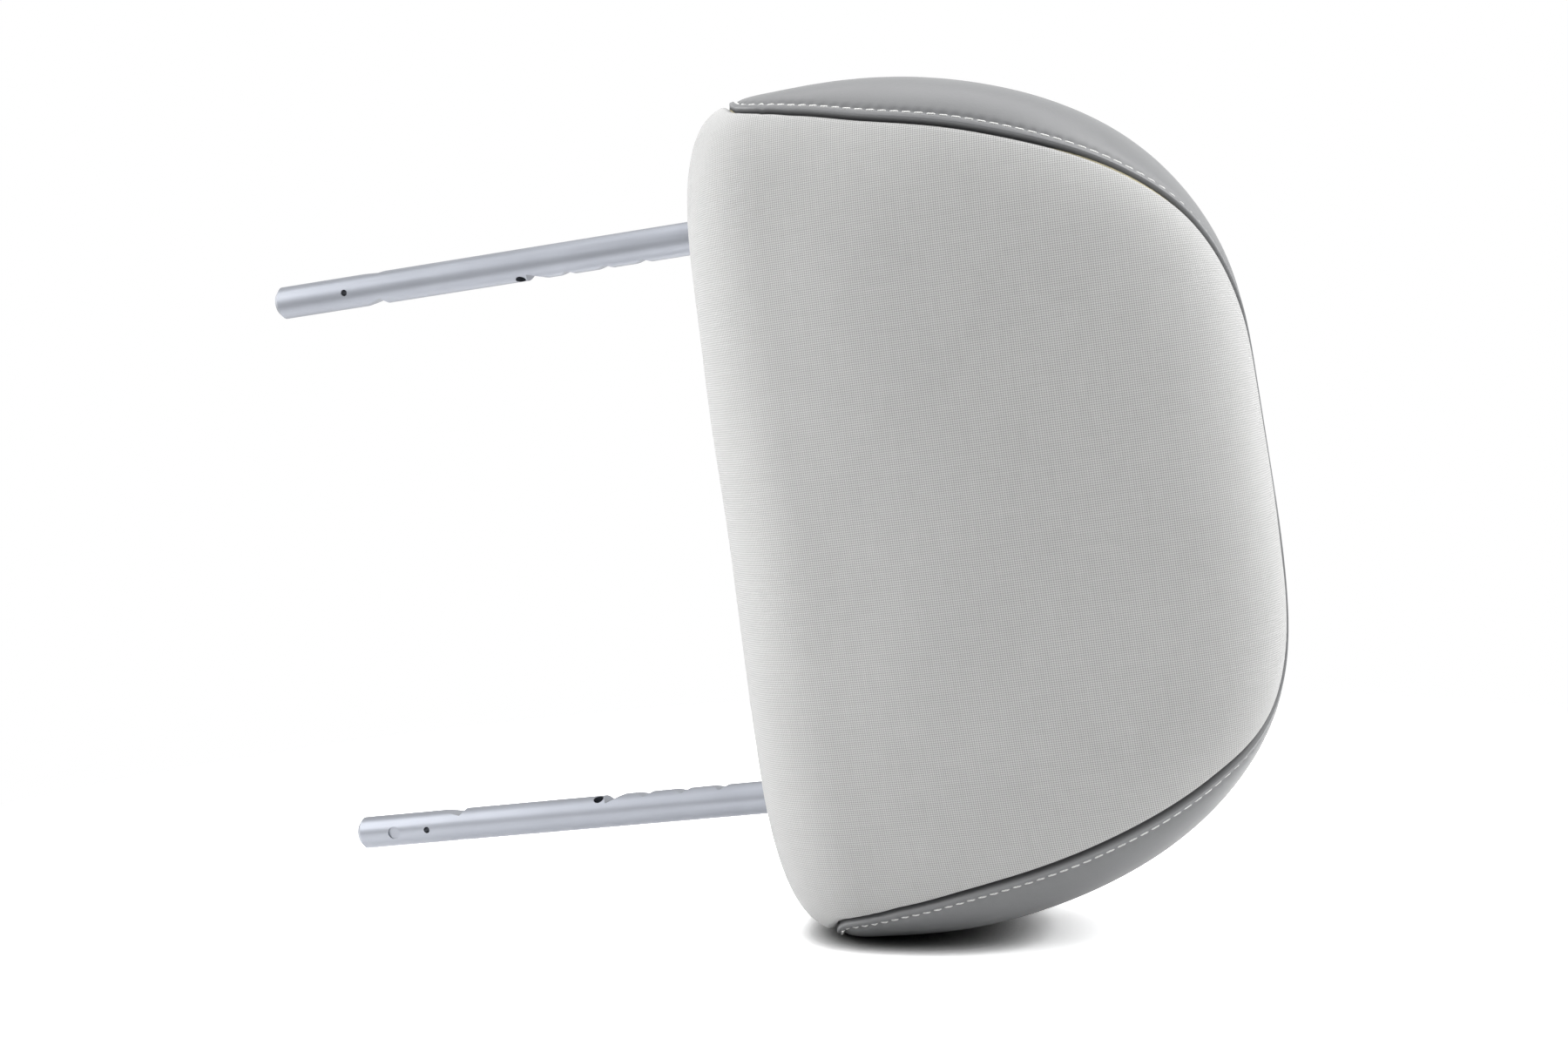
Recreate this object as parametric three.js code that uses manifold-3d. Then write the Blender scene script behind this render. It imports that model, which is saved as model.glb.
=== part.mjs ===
// Car headrest: a padded cushion on two notched posts. Millimetres, +Z up, front face towards -Y.
// The origin lies midway between the two posts, level with the underside of the pad.
import * as THREE from "three";
import { mergeVertices } from "three/addons/utils/BufferGeometryUtils.js";
import Module from "manifold-3d";

const wasm = await Module();
wasm.setup();

// Pad outline, measured from its widest level
const padHalfWidth = 121.5;
const padRise = 122.5;
const padDrop = 36.5;
const padFrontDepth = 47;
const padRearDepth = 54;
const padSetForward = 15;
const forwardLean = 0.1;
const topNarrowing = 0.233;
const topSquareness = 4;
const bottomSquareness = 4.9;
const frontTopFullness = 2.6;
const frontBottomFullness = 2.2;
const rearTopFullness = 2.25;
const rearBottomFullness = 3.5;

// Where the two seams run round the pad: [degrees from the top, millimetres behind the pad's centre]
const frontSeamRoute = [
  [0, -4],
  [12, -5.2],
  [22, -7.4],
  [30, -11],
  [37, -17],
  [45, -28.2],
  [55, -38],
  [65, -43],
  [75, -44.2],
  [85, -41.2],
  [90, -38.3],
  [95, -37.1],
  [101, -34.8],
  [107, -30.7],
  [112, -22],
  [118, -7],
  [127, 8],
];
const rearSeamRoute = [[0, 54], [45, 45], [90, 32], [118, 29]];
const closureAngle = 139.2;

// Cover sheets
const coverThickness = 2.4;
const sewnGap = 0.4;
const fitGap = 0.3;
const foamGap = 0.5;
const seamDepth = 1.5;
const weltWidth = 3.4;
const weltRise = 0.45;
const taperWidth = 40;
const leastSlant = 0.3;

// Sections square to a seam: how the cover sinks beside it, as [millimetres away, share of the seam's depth],
// and the rolled welt on its far side, as [share of the welt's width, share of its rise]
const dipSection = [[3.5, 0.1], [1.6, 0.4]];
const weltSection = [[0.25, 0], [0.6, 1], [1.05, -1], [1.6, 0.3]];

// Rod frame: one solid bar bent into a U, whose free legs are the posts
const postDiameter = 10;
const postSpacing = 170;
const postLength = 144;
const crossbarHeight = 100;
const bendRadius = 28;
const postEndChamfer = 1.5;

// Marks on the posts, measured up from their free ends
const endMarkHeight = 13.3;
const endMarkDiameter = 3.9;
const endMarkDepth = 0.6;
const hangHoleHeight = 24.8;
const hangHoleDiameter = 2;
const stopNotchHeight = 36;
const stopNotchDepth = 1.7;
const stopNotchBelow = 6;
const stopNotchAbove = 1.6;
const stopReliefDepth = 0.4;
const lockHoleHeight = 83;
const lockHoleDiameter = 3.2;
const lockHoleDepth = 4;
const lockHoleTurn = 27.5;
const lockNotchHeight = 85.6;
const lockNotchDepth = 1.85;
const lockNotchBelow = 1;
const lockNotchAbove = 5.8;
const ratchetPitch = 12.4;
const ratchetCount = 3;
const ratchetDepth = 1.05;
const ratchetFlank = 2.5;

// Carrier: two moulded trays that clamp the top of the rod frame
const carrierHalfWidth = 96;
const carrierBottom = 50;
const carrierTop = 114;
const carrierHalfDepth = 11;
const carrierWall = 2.5;
const carrierTopRadius = 36;
const carrierBottomRadius = 8;
const ribPositions = [-40, 0, 40];
const ribReach = 11;
const saddleHeights = [58, 68];
const screwHeights = [61, 85];
const screwPositions = [-58, 0, 58];

// Screws that close the carrier
const screwShankDiameter = 3.5;
const screwLength = 17;
const screwHeadDiameter = 6.8;
const screwHeadHeight = 2.2;
const screwHeadRounding = 0.9;
const bossDiameter = 9.5;

// Closure strips: two interlocking profiles sewn to the edges of the cover, between the posts
const stripHalfLength = 64;
const stripWall = 1.2;
const stripLeg = 7;
const stripHookHeight = 4.6;
const stripLip = 2;
const undersideRise = 1;
const stripRoomGap = 1;

// Fineness of the faceted surfaces
const columnStep = 7.5;
const cornerAngle = 101.25;
const rodSides = 18;
const holeSides = 10;
const bendSteps = 7;
const arcSteps = 5;

// How far a cutting tool runs on past the face that it cuts
const cutterOverrun = 6;

const halfGap = sewnGap / 2;
const postRadius = postDiameter / 2;
const postX = postSpacing / 2;
const padCentre = new THREE.Vector3(0, -padSetForward, padDrop);
const frontPole = new THREE.Vector3(0, -padFrontDepth, 0);
const rearPole = new THREE.Vector3(0, padRearDepth, 0);

// Solids

function solidOf(geometry) {
  const bare = geometry.index ? geometry.clone() : geometry;
  bare.deleteAttribute("normal");
  bare.deleteAttribute("uv");
  const merged = mergeVertices(bare, 1e-4);
  return new wasm.Manifold(
    new wasm.Mesh({
      numProp: 3,
      vertProperties: new Float32Array(merged.attributes.position.array),
      triVerts: new Uint32Array(merged.index.array),
    }),
  );
}

function geometryOf(solid) {
  const mesh = solid.getMesh();
  const geometry = new THREE.BufferGeometry();
  geometry.setAttribute("position", new THREE.BufferAttribute(mesh.vertProperties, 3));
  geometry.setIndex(new THREE.BufferAttribute(mesh.triVerts, 1));
  const flat = geometry.toNonIndexed();
  flat.computeVertexNormals();
  return flat;
}

function joined(solids) {
  return solids.reduce((whole, solid) => whole.add(solid));
}

function cutBy(solid, cutters) {
  return cutters.reduce((rest, cutter) => rest.subtract(cutter), solid);
}

// Closed surface from triangles of points, leaving out those that have shrunk to a line
function solidFromTriangles(triangles) {
  const whole = triangles.filter(([a, b, c]) => a !== b && b !== c && c !== a);
  const geometry = new THREE.BufferGeometry().setFromPoints(whole.flat());
  return solidOf(geometry);
}

function boxBetween(low, high) {
  const size = new THREE.Vector3().subVectors(high, low);
  const middle = new THREE.Vector3().addVectors(low, high).multiplyScalar(0.5);
  return solidOf(new THREE.BoxGeometry(size.x, size.y, size.z).translate(middle.x, middle.y, middle.z));
}

// Round bar from one point to another
function barBetween(start, end, radius, sides = rodSides) {
  const along = new THREE.Vector3().subVectors(end, start);
  const geometry = new THREE.CylinderGeometry(radius, radius, along.length(), sides);
  geometry.translate(0, along.length() / 2, 0);
  geometry.applyQuaternion(
    new THREE.Quaternion().setFromUnitVectors(new THREE.Vector3(0, 1, 0), along.normalize()),
  );
  geometry.translate(start.x, start.y, start.z);
  return solidOf(geometry);
}

// Flat outline given in X and Z, made thick from one Y to another
function plateFrom(outline, nearY, farY) {
  const geometry = new THREE.ExtrudeGeometry(outline, {
    depth: farY - nearY,
    bevelEnabled: false,
    curveSegments: arcSteps,
  });
  geometry.rotateX(Math.PI / 2);
  geometry.translate(0, farY, 0);
  return solidOf(geometry);
}

// Flat outline given in Y and Z, made long from one X to another
function profileAlongX(outline, lowX, highX) {
  const geometry = new THREE.ExtrudeGeometry(outline, { depth: highX - lowX, bevelEnabled: false });
  geometry.rotateX(Math.PI / 2);
  geometry.rotateZ(Math.PI / 2);
  geometry.translate(lowX, 0, 0);
  return solidOf(geometry);
}

function outlineOf(corners) {
  return new THREE.Shape(corners.map(([x, y]) => new THREE.Vector2(x, y)));
}

// Pad surface

// Smooth value at x on a curve through [x, value] points, level at its first point
function curveThrough(points, x) {
  const last = points.length - 1;
  if (x >= points[last][0]) return points[last][1];
  const i = Math.max(0, points.findIndex((point) => point[0] > x) - 1);
  const slope = (k) => {
    if (k === 0) return 0;
    const after = points[Math.min(k + 1, last)];
    const before = points[k - 1];
    return (after[1] - before[1]) / (after[0] - before[0]);
  };
  const [x0, y0] = points[i];
  const [x1, y1] = points[i + 1];
  const width = x1 - x0;
  const t = (x - x0) / width;
  const bend = slope(i) * width * t * (1 - t) ** 2 - slope(i + 1) * width * t ** 2 * (1 - t);
  return y0 * (1 + 2 * t) * (1 - t) ** 2 + y1 * t ** 2 * (3 - 2 * t) + bend;
}

// How many times further out than the pad's surface a point lies, seen from the pad's centre
function reach(point) {
  const level = point.z > 0 ? point.z / padRise : point.z / padDrop;
  const depth = point.y + forwardLean * point.z;
  const ahead = depth < 0;
  const fullnessUp = ahead ? frontTopFullness : rearTopFullness;
  const fullnessDown = ahead ? frontBottomFullness : rearBottomFullness;
  const fullness = point.z > 0 ? fullnessUp : fullnessDown;
  const sunk = Math.abs(depth) / (ahead ? padFrontDepth : padRearDepth);
  const ring = (sunk ** fullness + Math.abs(level) ** fullness) ** (1 / fullness);
  const upness = ring > 0 ? Math.max(-1, Math.min(1, level / ring)) : 0;
  const share = 0.5 + 0.5 * Math.sin((upness * Math.PI) / 2);
  const squareness = bottomSquareness + (topSquareness - bottomSquareness) * share;
  return (Math.abs(point.x / padHalfWidth) ** squareness + ring ** squareness) ** (1 / squareness);
}

function surfacePoint(direction) {
  const point = direction.clone().divideScalar(reach(direction));
  const level = Math.max(0, point.z / padRise);
  point.x *= 1 - topNarrowing * level ** 2;
  return point.add(padCentre);
}

// Point under the pad's surface in a given direction, sunk square to the surface
function sunkPoint(direction, sunk) {
  const point = surfacePoint(direction);
  const side = new THREE.Vector3(direction.y, -direction.x, 0);
  if (side.lengthSq() < 1e-6) side.set(1, 0, 0);
  side.normalize();
  const over = new THREE.Vector3().crossVectors(direction, side).normalize();
  const nudge = 0.05;
  const stepTo = (way) => {
    const there = surfacePoint(direction.clone().addScaledVector(way, nudge));
    return there.sub(surfacePoint(direction.clone().addScaledVector(way, -nudge)));
  };
  const normal = new THREE.Vector3().crossVectors(stepTo(side), stepTo(over)).normalize();
  if (normal.dot(direction) < 0) normal.negate();
  return point.addScaledVector(normal, -sunk);
}

// Direction of a seam at an angle in degrees round the pad, 0 at the top
function seamDirection(route, degrees) {
  const angle = THREE.MathUtils.degToRad(degrees);
  const drop = Math.cos(angle) > 0 ? padRise : padDrop;
  const full = [...route, [closureAngle, padSetForward]];
  const back = curveThrough(full, Math.abs(degrees));
  return new THREE.Vector3(padHalfWidth * Math.sin(angle), back, drop * Math.cos(angle));
}

// Place on the cover: 0 to 1 from the front pole to the front seam, to 2 at the rear seam,
// and to 3 at the rear pole
function coverDirection(degrees, place) {
  const frontSeam = seamDirection(frontSeamRoute, degrees);
  const rearSeam = seamDirection(rearSeamRoute, degrees);
  if (place <= 1) return frontPole.clone().lerp(frontSeam, place);
  if (place <= 2) return frontSeam.lerp(rearSeam, place - 1);
  return rearSeam.lerp(rearPole, place - 2);
}

// Place that lies a distance in front of (negative) or behind a seam, measured square to the seam
function placeBeside(degrees, seam, distance) {
  const probe = 0.02 * Math.sign(distance);
  const start = surfacePoint(coverDirection(degrees, seam));
  const across = surfacePoint(coverDirection(degrees, seam + probe)).sub(start);
  const span = across.length();
  if (span === 0) return seam;
  const ahead = surfacePoint(coverDirection(degrees + 0.5, seam));
  const along = ahead.sub(surfacePoint(coverDirection(degrees - 0.5, seam)));
  const slant = Math.max(leastSlant, Math.sin(along.angleTo(across)));
  return seam + (distance * Math.abs(probe)) / (span * slant);
}

// Angles of the columns that every layer of the pad shares: closer together round the lower corners,
// with one where each end of the closure begins
const columns = [-closureAngle, closureAngle];
for (let degrees = -180; degrees < 180; degrees += columnStep) columns.push(degrees);
for (let degrees = cornerAngle; degrees < closureAngle; degrees += columnStep) {
  columns.push(-degrees, degrees);
}
columns.sort((a, b) => a - b);

// A row is given by its place on the cover, and how far it lifts off the true surface, at each angle
const at = (place, lift = 0) => ({ place: () => place, lift: () => lift });
const beside = (seam, distance, lift) => ({
  place: (degrees) => placeBeside(degrees, seam, distance),
  lift: () => lift,
});

// The side panel narrows to nothing at its ends, and its rows draw together and sink into the seam there
const sideWidth = (degrees) => {
  const start = surfacePoint(coverDirection(degrees, 1));
  return start.distanceTo(surfacePoint(coverDirection(degrees, 2)));
};
const fullShare = (degrees) => Math.min(1, sideWidth(degrees) / taperWidth);
const sideLift = (lift) => (degrees) => THREE.MathUtils.lerp(-seamDepth, lift, fullShare(degrees));
const sideAt = (place, lift = 0) => ({ place: () => place, lift: sideLift(lift) });
const sideBeside = (seam, distance, lift) => ({
  place: (degrees) => placeBeside(degrees, seam, distance * fullShare(degrees)),
  lift: sideLift(lift),
});

const frontRows = [0, 0.15, 0.3, 0.44, 0.57, 0.7, 0.82, 0.92].map((place) => at(place));
const sideRows = [0.22, 0.5, 0.78].map((share) => sideAt(1 + share));
const rearRows = [2.14, 2.3, 2.46, 2.64, 2.82, 3].map((place) => at(place));

// Rows that only the outside needs: the cover dips into each seam, and its rolled welt stands up
// beside the front one
const frontDip = dipSection.map(([away, share]) => beside(1, -away, -share * seamDepth));
const welt = weltSection.map(([across, share]) => sideBeside(1, across * weltWidth, share * weltRise));
const rearDip = dipSection.map(([away, share]) => sideBeside(2, -away, -share * seamDepth));
const rearRise = dipSection.map(([away, share]) => beside(2, away, -share * seamDepth)).reverse();

const innerRows = [...frontRows, at(1), ...sideRows, at(2), ...rearRows];
const outerRows = [
  ...frontRows,
  ...frontDip,
  at(1, -seamDepth),
  ...welt,
  ...sideRows,
  ...rearDip,
  at(2, -seamDepth),
  ...rearRise,
  ...rearRows,
];

// Two triangles between neighbouring columns of two rows; every layer folds the same way,
// mirrored left to right
function facets(near, far, i) {
  const k = (i + 1) % near.length;
  if (i < near.length / 2) return [[near[i], near[k], far[i]], [near[k], far[k], far[i]]];
  return [[near[i], near[k], far[k]], [near[i], far[k], far[i]]];
}

// Closed surface through rings of points; points that fall together become one
function solidOfRings(rings) {
  const together = 1e-3;
  rings.forEach((ring, j) =>
    ring.forEach((point, i) => {
      const near = [ring[i - 1], rings[j - 1]?.[i]].find((other) => other?.distanceTo(point) < together);
      if (near) ring[i] = near;
    }),
  );
  const triangles = rings.slice(1).flatMap((far, j) => far.flatMap((_, i) => facets(rings[j], far, i)));
  return solidFromTriangles(triangles);
}

// Cover panels

// The whole pad with its skin taken off to a depth
function padSunk(depth) {
  const pointAt = (row, degrees) => sunkPoint(coverDirection(degrees, row.place(degrees)), depth);
  return solidOfRings(innerRows.map((row) => columns.map((degrees) => pointAt(row, degrees))));
}

function padOutside() {
  const pointAt = (row, degrees) => {
    return sunkPoint(coverDirection(degrees, row.place(degrees)), -row.lift(degrees));
  };
  return solidOfRings(outerRows.map((row) => columns.map((degrees) => pointAt(row, degrees))));
}

// Thin wall that runs all along a seam and parts the cover there
function seamKnife(seam) {
  const rails = [[], [], [], []];
  for (const degrees of columns) {
    const here = coverDirection(degrees, seam);
    const top = sunkPoint(here, -coverThickness);
    const bottom = sunkPoint(here, 2 * coverThickness);
    const before = surfacePoint(coverDirection(degrees - 0.5, seam));
    const along = surfacePoint(coverDirection(degrees + 0.5, seam)).sub(before);
    const out = new THREE.Vector3().subVectors(top, bottom);
    const side = new THREE.Vector3().crossVectors(out, along).setLength(halfGap);
    rails[0].push(top.clone().add(side));
    rails[1].push(top.sub(side));
    rails[2].push(bottom.clone().sub(side));
    rails[3].push(bottom.add(side));
  }
  const wall = [...rails, rails[0]].reverse();
  const triangles = wall.slice(1).flatMap((far, j) => far.flatMap((_, i) => facets(wall[j], far, i)));
  return solidFromTriangles(triangles);
}

// Front, side and rear panels, in that order, with a hole for each post where the closure passes it
function coverPanels() {
  const postHoles = [-postX, postX].map((x) =>
    barBetween(
      new THREE.Vector3(x, 0, -cutterOverrun),
      new THREE.Vector3(x, 0, coverThickness + cutterOverrun),
      postRadius + fitGap,
    ),
  );
  const skin = padOutside().subtract(padSunk(coverThickness));
  const panels = cutBy(skin, [seamKnife(1), seamKnife(2), ...postHoles]).decompose();
  const middleY = ({ min, max }) => min[1] + max[1];
  panels.sort((a, b) => b.volume() - a.volume());
  return panels.slice(0, 3).sort((a, b) => middleY(a.boundingBox()) - middleY(b.boundingBox()));
}

// Rod frame

// Bent bar in the XZ plane, from the foot of one post over the crossbar to the foot of the other
function rodPath() {
  const bendX = postX - bendRadius;
  const bendZ = crossbarHeight - bendRadius;
  const right = [
    new THREE.Vector2(postX, -postLength),
    new THREE.Vector2(postX, -postLength + postEndChamfer),
  ];
  for (let i = 0; i <= bendSteps; i++) {
    const turn = (i / bendSteps) * (Math.PI / 2);
    right.push(new THREE.Vector2(bendX + bendRadius * Math.cos(turn), bendZ + bendRadius * Math.sin(turn)));
  }
  const left = right.map((point) => new THREE.Vector2(-point.x, point.y)).reverse();
  return [...right, ...left];
}

function sweptRod(radius, chamfer, sides) {
  const path = rodPath();
  const rings = path.map((point, i) => {
    const before = path[Math.max(0, i - 1)];
    const after = path[Math.min(path.length - 1, i + 1)];
    const along = new THREE.Vector2().subVectors(after, before).normalize();
    const isEnd = i === 0 || i === path.length - 1;
    const size = isEnd ? radius - chamfer : radius;
    const ring = [];
    for (let k = 0; k < sides; k++) {
      const turn = ((k + 0.5) / sides) * 2 * Math.PI;
      const across = size * Math.cos(turn);
      const x = point.x + along.y * across;
      const z = point.y - along.x * across;
      ring.push(new THREE.Vector3(x, size * Math.sin(turn), z));
    }
    return ring;
  });
  const foot = (point) => Array(sides).fill(new THREE.Vector3(point.x, 0, point.y));
  return solidOfRings([foot(path[0]), ...rings, foot(path.at(-1))]);
}

// Notch cutter: a wedge with its deepest line across one side of a post, and a flank below and above it
function notchCutter(x, side, height, depth, below, above) {
  const z = height - postLength;
  const face = x + side * postRadius;
  const far = face + side * cutterOverrun;
  const grown = 1 + cutterOverrun / depth;
  const outline = outlineOf([
    [face - side * depth, z],
    [far, z - below * grown],
    [far, z + above * grown],
  ]);
  return plateFrom(outline, -postRadius - cutterOverrun, postRadius + cutterOverrun);
}

// Hole drilled towards a post's axis from a direction across it, down to a depth under its surface
function blindHole(x, height, direction, depth, diameter) {
  const axis = new THREE.Vector3(x, 0, height - postLength);
  return barBetween(
    axis.clone().addScaledVector(direction, postRadius - depth),
    axis.clone().addScaledVector(direction, postRadius + cutterOverrun),
    diameter / 2,
    holeSides,
  );
}

function rodFrame() {
  const front = new THREE.Vector3(0, -1, 0);
  const turn = THREE.MathUtils.degToRad(lockHoleTurn);
  const cutters = [];
  for (const side of [-1, 1]) {
    const x = side * postX;
    const inner = -side;
    const lockDirection = new THREE.Vector3(inner * Math.cos(turn), -Math.sin(turn), 0);
    cutters.push(
      blindHole(x, hangHoleHeight, front, postDiameter + cutterOverrun, hangHoleDiameter),
      blindHole(x, lockHoleHeight, lockDirection, lockHoleDepth, lockHoleDiameter),
      notchCutter(x, inner, stopNotchHeight, stopNotchDepth, stopNotchBelow, stopNotchAbove),
      notchCutter(x, -inner, stopNotchHeight, stopReliefDepth, stopNotchBelow, stopNotchAbove),
      notchCutter(x, inner, lockNotchHeight, lockNotchDepth, lockNotchBelow, lockNotchAbove),
    );
    for (let i = 1; i <= ratchetCount; i++) {
      const height = lockNotchHeight + i * ratchetPitch;
      cutters.push(notchCutter(x, inner, height, ratchetDepth, ratchetFlank, ratchetFlank));
    }
  }
  cutters.push(blindHole(postX, endMarkHeight, front, endMarkDepth, endMarkDiameter));
  return cutBy(sweptRod(postRadius, postEndChamfer, rodSides), cutters);
}

// Space that the bar takes inside a piece, with its clearance measured to the flats of its facets
function rodRoom() {
  return sweptRod((postRadius + fitGap) / Math.cos(Math.PI / holeSides), 0, holeSides);
}

// Carrier

function carrierOutline(grow) {
  const x = carrierHalfWidth + grow;
  const low = carrierBottom - grow;
  const high = carrierTop + grow;
  const top = carrierTopRadius + grow;
  const foot = carrierBottomRadius + grow;
  const shape = new THREE.Shape();
  shape.moveTo(-x, low + foot);
  shape.absarc(-x + foot, low + foot, foot, Math.PI, 1.5 * Math.PI);
  shape.absarc(x - foot, low + foot, foot, 1.5 * Math.PI, 2 * Math.PI);
  shape.absarc(x - top, high - top, top, 0, 0.5 * Math.PI);
  shape.absarc(-x + top, high - top, top, 0.5 * Math.PI, Math.PI);
  return shape;
}

const screwPlaces = screwHeights.flatMap((z) => screwPositions.map((x) => ({ x, z })));

// One tray, closed towards side (-1 front, 1 rear) and open at the parting plane
function carrierTray(side) {
  const span = (a, b) => [Math.min(side * a, side * b), Math.max(side * a, side * b)];
  const [nearY, farY] = span(halfGap, carrierHalfDepth);
  const shell = plateFrom(carrierOutline(0), nearY, farY);
  const [hollowNear, hollowFar] = span(-halfGap, carrierHalfDepth - carrierWall);
  const hollow = plateFrom(carrierOutline(-carrierWall), hollowNear, hollowFar);
  const [ribNear, ribFar] = span(halfGap, carrierHalfDepth - carrierWall / 2);
  const ribs = ribPositions.map((x) =>
    boxBetween(
      new THREE.Vector3(x - carrierWall / 2, ribNear, crossbarHeight - ribReach),
      new THREE.Vector3(x + carrierWall / 2, ribFar, carrierTop - carrierWall / 2),
    ),
  );
  const saddles = [-1, 1].flatMap((hand) =>
    saddleHeights.map((z) => {
      const outer = hand * (carrierHalfWidth - carrierWall / 2);
      const inner = hand * (postX - postDiameter);
      return boxBetween(
        new THREE.Vector3(Math.min(outer, inner), ribNear, z - carrierWall / 2),
        new THREE.Vector3(Math.max(outer, inner), ribFar, z + carrierWall / 2),
      );
    }),
  );
  const bosses = screwPlaces.map(({ x, z }) =>
    barBetween(
      new THREE.Vector3(x, ribNear, z),
      new THREE.Vector3(x, ribFar, z),
      bossDiameter / 2,
      holeSides,
    ),
  );
  const holes = screwPlaces.map(({ x, z }) =>
    barBetween(
      new THREE.Vector3(x, -(carrierHalfDepth - carrierWall), z),
      new THREE.Vector3(x, carrierHalfDepth + cutterOverrun, z),
      screwShankDiameter / 2 + fitGap,
      holeSides,
    ),
  );
  const seats = screwPlaces.map(({ x, z }) =>
    barBetween(
      new THREE.Vector3(x, carrierHalfDepth - screwHeadHeight - fitGap, z),
      new THREE.Vector3(x, carrierHalfDepth + cutterOverrun, z),
      screwHeadDiameter / 2 + fitGap,
      holeSides,
    ),
  );
  const tray = joined([shell.subtract(hollow), ...ribs, ...saddles, ...bosses]);
  const cutters = [rodRoom(), ...holes];
  if (side > 0) cutters.push(...seats);
  return cutBy(tray, cutters);
}

function carrierScrew() {
  const shank = screwShankDiameter / 2;
  const head = screwHeadDiameter / 2;
  const profile = [
    [0, 0],
    [head - screwHeadRounding, 0],
    [head, -screwHeadRounding],
    [head, -screwHeadHeight],
    [shank, -screwHeadHeight],
    [shank, -screwLength + shank],
    [0, -screwLength],
  ];
  const geometry = new THREE.LatheGeometry(
    profile.map(([radius, y]) => new THREE.Vector2(radius, y)).reverse(),
    holeSides,
  );
  return solidOf(geometry);
}

// Foam core

const stripFloor = coverThickness + fitGap + undersideRise;
const stripTop = stripFloor + 2 * stripWall + stripHookHeight;

function foamCore() {
  const halfRoom = carrierHalfDepth + fitGap;
  const carrierRoom = plateFrom(carrierOutline(fitGap), -halfRoom, halfRoom);
  const stripRoom = boxBetween(
    new THREE.Vector3(-stripHalfLength - stripRoomGap, -stripLeg - stripRoomGap, -coverThickness),
    new THREE.Vector3(stripHalfLength + stripRoomGap, stripLeg + stripRoomGap, stripTop + fitGap),
  );
  return cutBy(padSunk(coverThickness + foamGap), [carrierRoom, rodRoom(), stripRoom]);
}

// Closure strips

function frontStrip() {
  const w = stripWall;
  const base = stripFloor;
  const hook = base + stripHookHeight;
  const outline = outlineOf([
    [-stripLeg, base],
    [w, base],
    [w, hook],
    [-stripLip, hook],
    [-stripLip, hook - w],
    [0, hook - w],
    [0, base + w],
    [-stripLeg, base + w],
  ]);
  return profileAlongX(outline, -stripHalfLength, stripHalfLength);
}

function rearStrip() {
  const w = stripWall;
  const base = stripFloor;
  const step = 2 * fitGap;
  const under = base + stripHookHeight + fitGap;
  const top = under + w;
  const catchY = -stripLip - fitGap;
  const outline = outlineOf([
    [w + step, base],
    [stripLeg, base],
    [stripLeg, base + w],
    [2 * w + step, base + w],
    [2 * w + step, top],
    [catchY - w, top],
    [catchY - w, base + 2 * w],
    [catchY, base + 2 * w],
    [catchY, under],
    [w + step, under],
  ]);
  return profileAlongX(outline, -stripHalfLength, stripHalfLength);
}

// Materials and assembly

const satinSteel = new THREE.MeshStandardMaterial({ color: 0xb9bcc4, roughness: 0.38, metalness: 1 });
const blackPlastic = new THREE.MeshStandardMaterial({ color: 0x202224, roughness: 0.6, metalness: 0 });
const zincSteel = new THREE.MeshStandardMaterial({ color: 0xa9acb0, roughness: 0.4, metalness: 1 });
const paleFoam = new THREE.MeshStandardMaterial({ color: 0xe4dcb8, roughness: 0.95, metalness: 0 });
const greyWeave = new THREE.MeshStandardMaterial({ color: 0xc9c9c6, roughness: 0.9, metalness: 0 });
const slateVinyl = new THREE.MeshStandardMaterial({ color: 0x85878a, roughness: 0.5, metalness: 0 });
const greyPlastic = new THREE.MeshStandardMaterial({ color: 0x4a4c50, roughness: 0.55, metalness: 0 });

const headrest = new THREE.Group();
headrest.name = "headrest";

function addPiece(name, solid, material, parent = headrest) {
  const mesh = new THREE.Mesh(geometryOf(solid), material);
  mesh.name = name;
  parent.add(mesh);
  return mesh;
}

addPiece("rod_frame", rodFrame(), satinSteel);

const carrier = new THREE.Group();
headrest.add(carrier);
addPiece("carrier_front", carrierTray(-1), blackPlastic, carrier);
addPiece("carrier_rear", carrierTray(1), blackPlastic, carrier);
const screw = carrierScrew();
screwPlaces.forEach(({ x, z }, i) => {
  const piece = addPiece(`carrier_screw_${i + 1}`, screw, zincSteel, carrier);
  piece.position.set(x, carrierHalfDepth, z);
});

addPiece("foam_core", foamCore(), paleFoam);
const [frontPanel, sidePanel, rearPanel] = coverPanels();
addPiece("front_panel", frontPanel, greyWeave);
addPiece("side_panel", sidePanel, slateVinyl);
addPiece("rear_panel", rearPanel, slateVinyl);
addPiece("closure_strip_front", frontStrip(), greyPlastic);
addPiece("closure_strip_rear", rearStrip(), greyPlastic);

export default headrest;
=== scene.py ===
import math

import bmesh
import bpy
import numpy as np
from mathutils import Matrix, Vector, kdtree


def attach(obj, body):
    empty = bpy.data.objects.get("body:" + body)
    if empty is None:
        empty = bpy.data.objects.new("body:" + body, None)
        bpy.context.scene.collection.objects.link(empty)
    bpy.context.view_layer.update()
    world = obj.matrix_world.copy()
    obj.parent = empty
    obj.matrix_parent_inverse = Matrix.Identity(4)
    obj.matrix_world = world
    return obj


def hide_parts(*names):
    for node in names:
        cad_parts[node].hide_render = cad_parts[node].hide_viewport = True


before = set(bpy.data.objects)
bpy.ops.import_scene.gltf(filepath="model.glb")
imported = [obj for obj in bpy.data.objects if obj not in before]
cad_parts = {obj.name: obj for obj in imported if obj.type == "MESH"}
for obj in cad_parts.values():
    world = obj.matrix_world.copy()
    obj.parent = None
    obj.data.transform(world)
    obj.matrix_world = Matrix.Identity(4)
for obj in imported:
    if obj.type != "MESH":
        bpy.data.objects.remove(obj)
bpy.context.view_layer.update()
mm = 0.001
print("frame loaded")

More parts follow.
